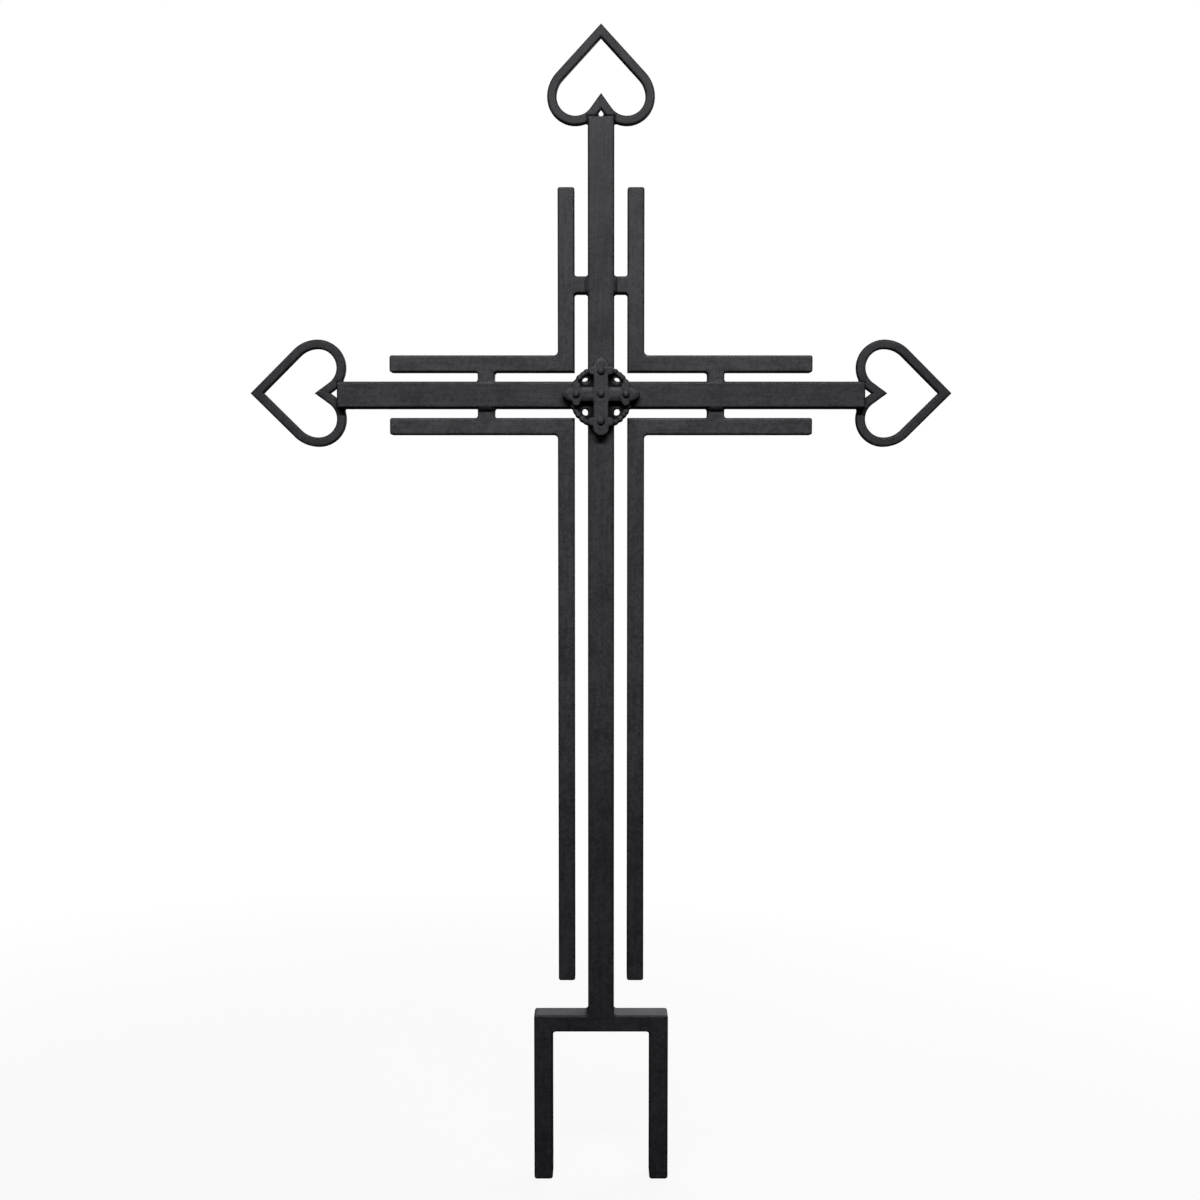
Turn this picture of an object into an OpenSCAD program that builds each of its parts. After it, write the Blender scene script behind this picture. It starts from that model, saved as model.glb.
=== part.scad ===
// Welded iron grave cross: a square post with two arms, four L-shaped pairs of
// thinner side bars held off by short spacers, an open heart at each free end,
// a cast rosette over the crossing and a two-pronged fork that goes in the ground.
// Millimetres. +Z is up, the front faces -Y, +X is the viewer's right.
// The origin is the middle of the underside of the fork's crosspiece.

/* [Bars] */
// Width and depth of the post and the arms
post_s = 25; // [20:1:32]
// Width and depth of the side bars and the spacers
side_s = 16; // [12:1:20]
// Radius along the long edges of every bar
edge_r = 2; // [1:0.25:2.5]
// Radius of the weld in each inner corner of the side bars
corner_weld = 4; // [2:0.5:6]

/* [Cross] */
// Height of the arms' centre line above the ground line
arm_height = 614.5; // [450:0.5:760]
// Length of the post above the arms' centre line
head_length = 259; // [220:1:330]
// Length of each arm, from the post's centre line
arm_length = 250; // [200:1:320]

/* [Side bars] */
// Gap between the post and the uprights
upright_gap = 12.5; // [8:0.5:18]
// Gap between the arms and the rails
rail_gap = 9; // [6:0.5:14]
// Reach of the upper uprights above the arms' centre line
upper_reach = 194.5; // [150:0.5:235]
// Reach of the lower uprights below the arms' centre line
lower_reach = 565; // [350:1:600]
// Reach of the rails from the post's centre line
rail_reach = 200.5; // [150:0.5:240]
// Height of the upper pair of spacers above the arms' centre line
top_spacer_height = 103.5; // [70:0.5:140]
// Distance of the arms' spacers from the post's centre line
arm_spacer_reach = 109; // [70:0.5:140]

/* [Fork] */
// Width over both prongs
fork_w = 130; // [100:1:170]
// Depth of the crosspiece and the prongs
fork_depth = 25; // [20:1:32]
// Height of the crosspiece
crosspiece_t = 16.5; // [12:0.5:22]
// Width of each prong
prong_w = 18; // [12:0.5:22]
// Length of the prongs below the crosspiece
prong_length = 146.5; // [100:0.5:220]
// Radius of the welds at the prongs
prong_weld = 3.5; // [2:0.5:6]
// Radius of the welds at the foot of the post
foot_weld = 3; // [2:0.5:6]

/* [Hearts] */
// Width across a heart
heart_w = 101.5; // [85:0.5:122]
// Length of the top heart, from its lobes to its tip
top_heart_length = 94; // [80:0.5:113]
// Length of the side hearts, from their lobes to their tips
side_heart_length = 91; // [80:0.5:110]
// Width of the bar that the hearts are made of
heart_bar = 9; // [6:0.25:11]
// Thickness of the hearts, front to back
heart_t = 8; // [5:0.5:12]
// Outer radius of a heart's lobes
lobe_r = 26.5; // [23:0.5:32]
// Outer radius of a heart's shoulders, between lobe and straight flank
shoulder_r = 32.5; // [26:0.5:40]
// Angle between a heart's axis and the legs of its cusp
cusp_angle = 36; // [30:1:42]
// Depth of the top heart's lobes in the post, at the post's sides
top_heart_seat = 3.75; // [2:0.25:7]
// Depth of a side heart's lobes in the arm, at the arm's sides
side_heart_seat = 5.65; // [2:0.05:8]
// Height of the side hearts above the arms' centre line
side_heart_rise = 2; // [0:0.25:3]

/* [Rosette] */
// Depth of the rosette's cross, in front of the bars
rosette_t = 7; // [5:0.5:9]
// Half length of the rosette's upright arms
rosette_half_z = 37; // [32:0.5:42]
// Half length of the rosette's level arms
rosette_half_x = 36.5; // [32:0.5:42]
// Width of the rosette's upright arms
rosette_arm_v = 14; // [11:0.5:16]
// Width of the rosette's level arms
rosette_arm_h = 12.2; // [10:0.1:15]
// Radius of the round end of each arm
end_lobe_r = 7.2; // [6:0.1:8.5]
// Radius of the two lobes beside each arm's end
side_lobe_r = 4.2; // [3:0.1:5]
// Outer radius of the ring
ring_r = 29.5; // [26:0.5:33]
// Width of the ring
ring_w = 5; // [3:0.5:6]
// Depth of the ring
ring_t = 5; // [4:0.5:6]
// Depth of the web inside the ring
web_t = 3; // [2:0.5:4]
// Distance of the four round windows from the rosette's two centre lines
window_reach = 14.5; // [13:0.5:16]
// Radius of the windows
window_r = 3.1; // [2:0.1:3.6]
// Distance of the outer studs from the rosette's centre
stud_reach = 23.5; // [21:0.5:26]
// Radius of the studs
stud_r = 3.1; // [2:0.1:3.5]
// Height of the studs above the rosette's cross
stud_h = 1.8; // [1:0.1:3]
// Distance of the rosette's centre below the arms' centre line
rosette_drop = 2; // [0:0.5:3]
// Height of the rosette's level arms above its centre
level_arm_rise = 2; // [0:0.5:3]

/* [Hidden] */
// Room left under the lobes in the slot that holds a heart
slot_room = 0.6;
// Steps in a bar's edge radius or a weld, and in each round stretch of a heart
edge_steps = 4;
heart_steps = 16;
// How far a cutting shape runs past what it cuts
overshoot = 1;
paint = [0.17, 0.17, 0.18];
cast_paint = [0.21, 0.21, 0.22];

post_half = post_s / 2;
fork_half = fork_w / 2;
prong_inner = fork_half - prong_w;
upright_x = post_half + upright_gap;
rail_z = post_half + rail_gap;
lobe_x = heart_w / 2 - lobe_r;
// How far a lobe reaches past the lobe centres, at a distance x from the heart's axis
function lobe_reach(x) = sqrt(pow(lobe_r, 2) - pow(lobe_x - x, 2));
// Distance from a bar's end to the centres of the lobes that sit in it
top_heart_stand = lobe_reach(post_half) - top_heart_seat;
side_heart_stand = lobe_reach(post_half + side_heart_rise) - side_heart_seat;
top_slot = top_heart_seat + slot_room;
side_slot = side_heart_seat + slot_room;

// ---- Outlines ----

// A quarter turn of radius r about c, from angle a0
function quarter(c, r, a0) =
    [for (i = [0:edge_steps]) let (a = a0 + 90 * i / edge_steps) c + r * [cos(a), sin(a)]];

// A bar's section, w by d about the origin, with rounded corners
function bar_section(w, d) = concat(
    quarter([w / 2 - edge_r, d / 2 - edge_r], edge_r, 0),
    quarter([edge_r - w / 2, d / 2 - edge_r], edge_r, 90),
    quarter([edge_r - w / 2, edge_r - d / 2], edge_r, 180),
    quarter([w / 2 - edge_r, edge_r - d / 2], edge_r, 270));

// The face of a bar between x0 and x1, from height z0 to a free end at z1
function free_end_outline(x0, x1, z0, z1) = concat(
    [[x0, z0], [x1, z0]],
    quarter([x1 - edge_r, z1 - edge_r], edge_r, 0),
    quarter([x0 + edge_r, z1 - edge_r], edge_r, 90));

// The same with its foot cut on the slant, from [0, 0] to [s, s], to make a mitre
function mitred_outline(s, length) = concat(
    [[0, 0], [s, s]],
    quarter([s - edge_r, length - edge_r], edge_r, 0),
    quarter([edge_r, length - edge_r], edge_r, 90));

// A hollow weld that fills the corner at c, on the +x +z side
function weld_outline(c, r) = concat([c], [for (p = quarter([r, r], r, 180)) c + p]);

// The right half of a heart, from tip to cusp, moved inwards by inset.
// Flank and shoulder are tangent, and so are lobe and cusp leg. The lobe's centre
// and the shoulder's centre both lie on the line of height 0.
function heart_half(length, inset) =
    let (rise = length - lobe_r,
         shoulder_x = heart_w / 2 - shoulder_r,
         flank = atan(shoulder_x / rise) + asin(shoulder_r / norm([shoulder_x, rise])))
    concat(
        [[0, rise - inset / sin(flank)]],
        [for (i = [0:heart_steps]) let (a = flank * (1 - i / heart_steps))
            [shoulder_x, 0] + (shoulder_r - inset) * [cos(a), sin(a)]],
        [for (i = [1:2 * heart_steps]) let (a = (cusp_angle - 180) * i / (2 * heart_steps))
            [lobe_x, 0] + (lobe_r - inset) * [cos(a), sin(a)]],
        [[0, (lobe_x * cos(cusp_angle) - (lobe_r - inset)) / sin(cusp_angle)]]);

function heart_outline(length, inset) =
    let (half = heart_half(length, inset), last = len(half) - 1)
    concat(half, [for (i = [last - 1:-1:1]) [-half[i][0], half[i][1]]]);

// ---- Shapes used more than once ----

// An outline in x and z, given depth equally to front and back
module plate(outline, depth)
    rotate([90, 0, 0]) linear_extrude(depth, center = true) polygon(outline);

// A bar standing on z0, w wide and d deep, centred on x
module standing_bar(x, w, d, z0, z1)
    translate([x, 0, z0]) linear_extrude(z1 - z0) polygon(bar_section(w, d));

// A bar of the cross from z0 to a free end at z1, slotted across for a heart
module slotted_bar(z0, z1, slot)
    difference() {
        intersection() {
            plate(free_end_outline(-post_half, post_half, z0, z1), post_s);
            standing_bar(0, post_s, post_s, z0, z1);
        }
        translate([-post_half - overshoot, -heart_t / 2, z1 - slot])
            cube([post_s + 2 * overshoot, heart_t, slot + overshoot]);
    }

// A side bar with a mitred foot, standing on its outer corner at the origin
module mitred_bar(length)
    intersection() {
        plate(mitred_outline(side_s, length), side_s);
        standing_bar(side_s / 2, side_s, side_s, 0, length);
    }

// Placed in one of the four quarters of the cross, at its inner corner
module in_quarter(left, lower)
    translate([0, 0, arm_height])
        mirror_if([1, 0, 0], left) mirror_if([0, 0, 1], lower)
            translate([upright_x, 0, rail_z]) children();

module mirror_if(normal, wanted)
    if (wanted) mirror(normal) children();
    else children();

module upright(left, lower)
    color(paint) in_quarter(left, lower) {
        mitred_bar((lower ? lower_reach : upper_reach) - rail_z);
        plate(weld_outline([side_s, side_s], corner_weld), side_s - 2 * edge_r);
    }

module rail(left, lower)
    color(paint) in_quarter(left, lower)
        mirror([1, 0, -1]) mitred_bar(rail_reach - upright_x);

// Between the post and an upper upright
module top_spacer(left)
    color(paint) translate([0, 0, arm_height + top_spacer_height])
        mirror_if([1, 0, 0], left) translate([post_half, 0, 0])
            rotate([0, 90, 0]) standing_bar(0, side_s, side_s, 0, upright_gap);

// Between an arm and a rail
module arm_spacer(left, lower)
    color(paint) translate([0, 0, arm_height])
        mirror_if([1, 0, 0], left) mirror_if([0, 0, 1], lower)
            standing_bar(arm_spacer_reach, side_s, side_s, post_half, rail_z);

// An open heart about its lobe line, tip up
module heart(length)
    color(paint) difference() {
        plate(heart_outline(length, 0), heart_t);
        plate(heart_outline(length, heart_bar), heart_t + 2 * overshoot);
    }

module prong(left)
    color(paint) mirror_if([1, 0, 0], left)
        intersection() {
            plate(concat(
                [[fork_half, crosspiece_t], [prong_inner, 0]],
                quarter([prong_inner + edge_r, edge_r - prong_length], edge_r, 180),
                quarter([fork_half - edge_r, edge_r - prong_length], edge_r, 270)), fork_depth);
            standing_bar(fork_half - prong_w / 2, prong_w, fork_depth, -prong_length, crosspiece_t);
        }

// A flat shape in x and z, standing t forward of the front of the bars
module relief(t)
    translate([0, -post_half, 0]) rotate([90, 0, 0]) linear_extrude(t) children();

// One arm of the rosette pointing up, with its three lobes
module rosette_arm(width, half_length) {
    translate([-width / 2, 0]) square([width, stud_reach]);
    translate([0, half_length - end_lobe_r]) circle(end_lobe_r, $fn = 64);
    for (side = [-1, 1])
        translate([side * (width + side_lobe_r) / 2, stud_reach]) circle(side_lobe_r, $fn = 64);
}

// ---- The pieces ----

module post()
    color(paint) {
        slotted_bar(crosspiece_t, arm_height + head_length, top_slot);
        for (left = [false, true]) mirror_if([1, 0, 0], left)
            plate(weld_outline([post_half, crosspiece_t], foot_weld), post_s - 2 * edge_r);
    }

module arm(left)
    color(paint) translate([0, 0, arm_height]) mirror_if([1, 0, 0], left)
        rotate([0, 90, 0]) slotted_bar(post_half, arm_length, side_slot);

module heart_top()
    translate([0, 0, arm_height + head_length + top_heart_stand]) heart(top_heart_length);

module side_heart(left)
    translate([0, 0, arm_height + side_heart_rise]) mirror_if([1, 0, 0], left)
        translate([arm_length + side_heart_stand, 0, 0])
            rotate([0, 90, 0]) heart(side_heart_length);

module rosette()
    color(cast_paint) translate([0, 0, arm_height - rosette_drop]) {
        relief(web_t) difference() {
            circle(ring_r - ring_w / 2, $fn = 96);
            for (x = [-1, 1], z = [-1, 1])
                translate([x, z] * window_reach) circle(window_r, $fn = 48);
        }
        relief(ring_t) difference() {
            circle(ring_r, $fn = 96);
            circle(ring_r - ring_w, $fn = 96);
        }
        relief(rosette_t) for (turn = [0, 180]) {
            rotate(turn) rosette_arm(rosette_arm_v, rosette_half_z);
            translate([0, level_arm_rise])
                rotate(turn + 90) rosette_arm(rosette_arm_h, rosette_half_x);
        }
        relief(rosette_t + stud_h) {
            for (side = [-1, 1]) translate([0, side * stud_reach]) circle(stud_r, $fn = 48);
            for (side = [-1:1]) translate([side * stud_reach, level_arm_rise]) circle(stud_r, $fn = 48);
        }
    }

module fork_crosspiece()
    color(paint) {
        intersection() {
            plate([[-fork_half, crosspiece_t], [-prong_inner, 0],
                   [prong_inner, 0], [fork_half, crosspiece_t]], fork_depth);
            translate([-fork_half, 0, crosspiece_t / 2]) rotate([0, 90, 0])
                linear_extrude(fork_w) polygon(bar_section(crosspiece_t, fork_depth));
        }
        for (left = [false, true]) mirror_if([1, 0, 0], left)
            mirror([0, 0, 1]) translate([prong_inner, 0, 0]) mirror([1, 0, 0])
                plate(weld_outline([0, 0], prong_weld), fork_depth - 2 * edge_r);
    }

post();
arm(true);  // arm_left
arm(false);  // arm_right
upright(true, false);  // upright_upper_left
upright(false, false);  // upright_upper_right
upright(true, true);  // upright_lower_left
upright(false, true);  // upright_lower_right
rail(true, false);  // rail_upper_left
rail(false, false);  // rail_upper_right
rail(true, true);  // rail_lower_left
rail(false, true);  // rail_lower_right
top_spacer(true);  // spacer_top_left
top_spacer(false);  // spacer_top_right
arm_spacer(true, false);  // spacer_left_upper
arm_spacer(true, true);  // spacer_left_lower
arm_spacer(false, false);  // spacer_right_upper
arm_spacer(false, true);  // spacer_right_lower
heart_top();
side_heart(true);  // heart_left
side_heart(false);  // heart_right
rosette();
fork_crosspiece();
prong(true);  // prong_left
prong(false);  // prong_right
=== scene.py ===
"""Looks of a welded iron grave cross, built round its packed construction.

Metres, +Z up, the front towards -Y. Every bar is a plate with rounded edges that follows its own
outline, so bars that are welded and ground flush run into each other without a seam. A heart is a
bar's section carried round a closed line. The rosette is the skin of one solid function of place,
as soft as a casting.
"""
import math

import bpy
import numpy as np
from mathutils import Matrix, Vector


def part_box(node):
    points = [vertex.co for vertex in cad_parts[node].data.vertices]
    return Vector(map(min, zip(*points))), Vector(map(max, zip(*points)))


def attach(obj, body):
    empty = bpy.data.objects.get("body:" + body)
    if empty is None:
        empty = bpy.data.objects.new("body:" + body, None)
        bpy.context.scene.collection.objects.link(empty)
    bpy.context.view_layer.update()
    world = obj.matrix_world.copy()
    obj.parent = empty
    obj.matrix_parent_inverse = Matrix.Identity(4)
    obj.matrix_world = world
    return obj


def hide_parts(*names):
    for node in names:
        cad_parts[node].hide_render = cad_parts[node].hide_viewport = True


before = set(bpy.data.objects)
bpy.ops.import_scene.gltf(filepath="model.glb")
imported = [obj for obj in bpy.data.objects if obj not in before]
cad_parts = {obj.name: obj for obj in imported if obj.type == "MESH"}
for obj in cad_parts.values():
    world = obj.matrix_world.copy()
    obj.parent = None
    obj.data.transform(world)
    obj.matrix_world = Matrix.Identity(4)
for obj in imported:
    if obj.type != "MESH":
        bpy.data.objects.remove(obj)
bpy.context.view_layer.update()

MM = 0.001

# ---- Sizes taken from the construction ----


def corners(node):
    """The lowest and highest corner of a construction node, as arrays of x, y and z."""
    low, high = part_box(node)
    return np.array(low), np.array(high)


_, post_high = corners("post")
arm_low, arm_high = corners("arm_right")
upper_low, upper_high = corners("upright_upper_right")
lower_low, _ = corners("upright_lower_right")
rail_low, rail_high = corners("rail_upper_right")
top_spacer_low, top_spacer_high = corners("spacer_top_right")
arm_spacer_low, arm_spacer_high = corners("spacer_right_upper")
_, fork_high = corners("fork_crosspiece")
prong_low, _ = corners("prong_right")
rosette_low, rosette_high = corners("rosette")
rosette_half_x = rosette_high[0]
rosette_half_z = (rosette_high[2] - rosette_low[2]) / 2
rosette_z = (rosette_high[2] + rosette_low[2]) / 2
top_heart_low, top_heart_high = corners("heart_top")
side_heart_low, side_heart_high = corners("heart_right")
heart_width = top_heart_high[0] - top_heart_low[0]
heart_depth = top_heart_high[1] - top_heart_low[1]

POST_HALF = post_high[1]
SIDE_HALF = upper_high[1]
SIDE = 2 * SIDE_HALF
FORK_HALF_DEPTH = fork_high[1]
ARM_Z = (arm_low[2] + arm_high[2]) / 2
ARM_END = arm_high[0]
POST_TOP = post_high[2]
UPRIGHT_X = upper_low[0]
RAIL_Z = rail_low[2] - ARM_Z
RAIL_END = rail_high[0]
UPPER_REACH = upper_high[2] - ARM_Z
LOWER_REACH = ARM_Z - lower_low[2]
TOP_SPACER_Z = (top_spacer_low[2] + top_spacer_high[2]) / 2
ARM_SPACER_X = (arm_spacer_low[0] + arm_spacer_high[0]) / 2
FORK_HALF = fork_high[0]
FORK_TOP = fork_high[2]
PRONG_INNER = prong_low[0]
PRONG_FOOT = prong_low[2]

# ---- Sizes of the finish ----

BAR_EDGE = 2.2 * MM          # radius along the edges of the post, arms and fork
SIDE_EDGE = 1.9 * MM         # the same on the side bars and spacers
BAR_CORNER = 2.5 * MM        # radius at the corners of a bar's free end
SIDE_CORNER = 2.2 * MM
CORNER_WELD = 4.0 * MM       # in the inner corners of the side bars
FOOT_WELD = 3.0 * MM         # at the foot of the post and round the crossing
PRONG_WELD = 3.5 * MM        # in the inner corners of the fork
SPACER_WELD = 2.4 * MM       # at the four corners of a spacer
BEAD_REACH = 3.0 * MM        # how far the weld between a spacer's face and its bar reaches out
BEAD_SEAT = 1.6 * MM         # how far it laps the bar's rounded edge
BEAD_DEPTH = POST_HALF - SIDE_HALF - 0.1 * MM   # and how far it stands in front of the spacer
HEART_WELD_LEG = 2.4 * MM
NOTCH_WELD = 5.2 * MM, 6.2 * MM   # legs of the welds in the gap between a heart and its bar's end
FOOT_SHADE_HEIGHT = 230 * MM       # height below which the paint is darker, as painted shade for the light falling off towards the foot
FOOT_SHADE_BAND = 60 * MM        # how far above and below that it changes
FOOT_SHADE_SHARE = 0.28
WALL_SHADE = 0.3             # painted shade on a bar's sides: how far their paint is towards the dark paint of its edges
HEART_WALL_SHADE = 0.9       # the same on the sides of a heart's bar
FACE_RIM = 0.25 * MM         # band beside a rounded edge that keeps the flat face flat
TONGUE = BAR_EDGE + 3 * FACE_RIM   # how far a flush bar runs on into the one it is welded to
SUNK = 0.02 * MM             # how much lower a flush bar lies than the one it runs into
EDGE_STEPS = 6
ARC_STEPS = 10

# ---- Outlines: points in x and z, anticlockwise from the front, and which edges are rounded ----

CUT = object()               # after a run of points: the next edge of the outline stays sharp


def arc(cx, cz, radius, start, end, steps=ARC_STEPS):
    """Points on a circle about (cx, cz), from the angle start to the angle end, in degrees."""
    a = np.radians(np.linspace(start, end, steps + 1))
    return np.stack([cx + radius * np.cos(a), cz + radius * np.sin(a)], -1)


def outline(*runs):
    """Joins runs of points. The edge that follows a run is rounded, unless the run ends in CUT."""
    points, soft = [], []
    for run in runs:
        if run is CUT:
            soft[-1][-1] = 0.0
            continue
        points.append(np.atleast_2d(np.asarray(run, float)))
        soft.append(np.ones(len(points[-1])))
    return np.concatenate(points), np.concatenate(soft)


def turned_back(shape):
    """The same outline run the other way round, for use after a mirroring."""
    points, soft = shape
    return points[::-1].copy(), np.roll(soft[::-1], -1)


def mirrored(shape, left, lower, middle_z=ARM_Z):
    """An outline mirrored in x, and in z about middle_z, where wanted."""
    points, soft = shape
    points = (points - [0, middle_z]) * [-1 if left else 1, -1 if lower else 1] + [0, middle_z]
    return turned_back((points, soft)) if left != lower else (points, soft)


# ---- Meshes ----


def new_mesh(name, points, quads, polygons=()):
    """A closed mesh from an array of points, an array of four-sided faces and some larger faces."""
    mesh = bpy.data.meshes.new(name)
    loops = np.concatenate([np.asarray(quads, np.int32).ravel()]
                           + [np.asarray(p, np.int32) for p in polygons])
    counts = np.concatenate([np.full(len(quads), 4), [len(p) for p in polygons]]).astype(np.int32)
    starts = np.concatenate([[0], np.cumsum(counts)[:-1]]).astype(np.int32)
    mesh.vertices.add(len(points))
    mesh.vertices.foreach_set("co", np.asarray(points, np.float32).ravel())
    mesh.loops.add(len(loops))
    mesh.loops.foreach_set("vertex_index", loops)
    mesh.polygons.add(len(counts))
    mesh.polygons.foreach_set("loop_start", starts)
    mesh.polygons.foreach_set("use_smooth", np.ones(len(counts), bool))
    mesh.update(calc_edges=True)
    mesh.validate()
    piece = bpy.data.objects.new(name, mesh)
    bpy.context.scene.collection.objects.link(piece)
    return piece


def shaded(piece, rim):
    """Stores painted shade at each point of a mesh, for the material to read: how far the paint
    is darkened there in place of shade. 0 is not at all, and 1 or more is fully."""
    shade = piece.data.attributes.new("rim", "FLOAT", "POINT")
    shade.data.foreach_set("value", np.ravel(rim).astype(np.float32))
    return piece


def finished(piece, material, slot, *nodes, crease=38):
    """Gives a piece its creases and its finish, and hides the nodes it stands for."""
    piece.data.set_sharp_from_angle(angle=math.radians(crease))
    piece.data.materials.append(material)
    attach(piece, "root")
    if nodes:
        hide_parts(*nodes)
    return piece


def grid_quads(rows, columns, closed_rows=False):
    """Faces of a grid of points whose rows are rings, each ring closed on itself."""
    first = np.arange(rows if closed_rows else rows - 1)[:, None] * columns
    second = (first + columns) % (rows * columns)
    here = np.arange(columns)[None, :]
    there = (here + 1) % columns
    return np.stack([first + here, second + here, second + there, first + there], -1).reshape(-1, 4)


def inset_way(points, soft):
    """How each point of an outline moves for each metre that its rounded edges move inwards.

    The move u has u.a = 1 or 0 and u.b = 1 or 0, where a and b are the inward directions of the
    edges before and after the point, and 0 is for a cut edge. Where a and b are one direction, u
    is that direction.
    """
    step = np.roll(points, -1, 0) - points
    along = step / np.linalg.norm(step, axis=1)[:, None]
    after = np.stack([-along[:, 1], along[:, 0]], -1)
    before, soft_before = np.roll(after, 1, 0), np.roll(soft, 1)
    cross = before[:, 0] * after[:, 1] - before[:, 1] * after[:, 0]
    straight = np.abs(cross) < 1e-6
    cross = np.where(straight, 1.0, cross)
    u = np.stack([(soft_before * after[:, 1] - soft * before[:, 1]) / cross,
                  (soft * before[:, 0] - soft_before * after[:, 0]) / cross], -1)
    return np.where(straight[:, None], after * soft[:, None], u)


def edge_shade(a):
    """How much painted shade a rounded edge gets where its direction has turned by a from the side
    to the face: 3.4 (1 - sin a), but 1.2 at most."""
    return np.clip(3.4 - 3.4 * np.sin(a), 0, 1.2)


def under(x, z):
    """How much of the painted shade an edge that faces (x, z) gets: 0.6 + 0.15 x - 0.4 z for a
    direction one long, so most below, least above, and a little more on the right, where shade
    falls."""
    return 0.6 + (0.15 * x - 0.4 * z) / np.maximum(np.hypot(x, z), 1e-9)


def soft_points(soft):
    """1 at each point of an outline that a rounded edge meets, and 0 between two cut edges."""
    return np.maximum(soft, np.roll(soft, 1))


def plate(name, shape, half_depth, edge):
    """A flat bar: its outline lies in x and z, and its depth along y.

    Ring by ring from the front to the back, the outline is moved inwards by edge (1 - cos a) at the
    depth half_depth - edge + edge sin a, for a from a right angle down to 0, and the same behind.
    """
    points, soft = shape
    a = np.linspace(0, math.pi / 2, EDGE_STEPS + 1)
    inset = np.concatenate([[0.0], edge * (1 - np.cos(a)), [edge + FACE_RIM]])
    depth = np.concatenate([[half_depth - edge - FACE_RIM],
                            half_depth - edge + edge * np.sin(a), [half_depth]])
    inset = np.concatenate([inset[::-1], inset])
    depth = np.concatenate([-depth[::-1], depth])
    flat = points[None] + inset_way(points, soft)[None] * inset[:, None, None]
    cloud = np.stack([flat[..., 0], np.repeat(depth[:, None], len(points), 1), flat[..., 1]], -1)
    front = np.arange(len(points))
    back = front[::-1] + (len(inset) - 1) * len(points)
    # Painted shade: the paint darkens on the bar's sides and rounded edges, most on those that face
    # down.
    rim = np.concatenate([[WALL_SHADE], edge_shade(a), [0.0]])
    rim = np.concatenate([rim[::-1], rim])[:, None] * soft_points(soft)
    rim = rim * under(*-inset_way(points, soft).T)
    quads = grid_quads(len(inset), len(points))
    return shaded(new_mesh(name, cloud.reshape(-1, 3), quads, [front, back]), rim)


# ---- The bars ----


def post_outline():
    """Up from a tongue inside the crosspiece, through the two foot welds, to a rounded free end."""
    toe = POST_HALF + FOOT_WELD
    weld_z = FORK_TOP + FOOT_WELD
    end = POST_TOP - BAR_CORNER
    side = POST_HALF - BAR_CORNER
    return outline([-toe, FORK_TOP - TONGUE], CUT, [toe, FORK_TOP - TONGUE], CUT,
                   arc(toe, weld_z, FOOT_WELD, 270, 180),
                   arc(side, end, BAR_CORNER, 0, 90), arc(-side, end, BAR_CORNER, 90, 180),
                   arc(-toe, weld_z, FOOT_WELD, 0, -90), CUT)


def arm_outline():
    """Out from a tongue inside the post, past the welds round the crossing, to a rounded end."""
    toe = POST_HALF + FOOT_WELD
    end = ARM_END - BAR_CORNER
    side = POST_HALF - BAR_CORNER
    return outline([POST_HALF - TONGUE, ARM_Z + toe], CUT, [POST_HALF - TONGUE, ARM_Z - toe], CUT,
                   arc(toe, ARM_Z - toe, FOOT_WELD, 180, 90),
                   arc(end, ARM_Z - side, BAR_CORNER, 270, 360),
                   arc(end, ARM_Z + side, BAR_CORNER, 0, 90),
                   arc(toe, ARM_Z + toe, FOOT_WELD, 270, 180), CUT)


def upright_outline(reach):
    """From the mitre, which runs from the corner nearest the crossing to the middle of the weld
    in the inner corner, up to a rounded free end."""
    inner = UPRIGHT_X + SIDE
    weld_x, weld_z = inner + CORNER_WELD, ARM_Z + RAIL_Z + SIDE + CORNER_WELD
    end = ARM_Z + reach - SIDE_CORNER
    return outline([UPRIGHT_X, ARM_Z + RAIL_Z], CUT,
                   arc(weld_x, weld_z, CORNER_WELD, 225, 180),
                   arc(inner - SIDE_CORNER, end, SIDE_CORNER, 0, 90),
                   arc(UPRIGHT_X + SIDE_CORNER, end, SIDE_CORNER, 90, 180))


def rail_outline():
    """The other side of the same mitre, out to a rounded free end."""
    bottom, top = ARM_Z + RAIL_Z, ARM_Z + RAIL_Z + SIDE
    end = RAIL_END - SIDE_CORNER
    weld_x = UPRIGHT_X + SIDE + CORNER_WELD
    return outline([UPRIGHT_X, bottom],
                   arc(end, bottom + SIDE_CORNER, SIDE_CORNER, 270, 360),
                   arc(end, top - SIDE_CORNER, SIDE_CORNER, 0, 90),
                   arc(weld_x, top + CORNER_WELD, CORNER_WELD, 270, 225), CUT)


def spacer_outline(start, end):
    """A level spacer about z = 0 from x = start to x = end. Both ends flare into their bars, with a
    tongue inside them."""
    low, high = -SIDE_HALF - SPACER_WELD, SIDE_HALF + SPACER_WELD
    near, far = start + SPACER_WELD, end - SPACER_WELD
    return outline([start - TONGUE, high], CUT, [start - TONGUE, low], CUT,
                   arc(near, low, SPACER_WELD, 180, 90), arc(far, low, SPACER_WELD, 90, 0), CUT,
                   [end + TONGUE, low], CUT, [end + TONGUE, high], CUT,
                   arc(far, high, SPACER_WELD, 360, 270),
                   arc(near, high, SPACER_WELD, 270, 180), CUT)


def crosspiece_outline():
    """Both ends are cut on the slant, from the middle of the outer corner to that of the inner
    weld."""
    outer_x, outer_z = FORK_HALF - BAR_CORNER, FORK_TOP - BAR_CORNER
    weld_x = PRONG_INNER - PRONG_WELD
    return outline(arc(-weld_x, -PRONG_WELD, PRONG_WELD, 135, 90),
                   arc(weld_x, -PRONG_WELD, PRONG_WELD, 90, 45), CUT,
                   arc(outer_x, outer_z, BAR_CORNER, 45, 90),
                   arc(-outer_x, outer_z, BAR_CORNER, 90, 135), CUT)


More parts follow.
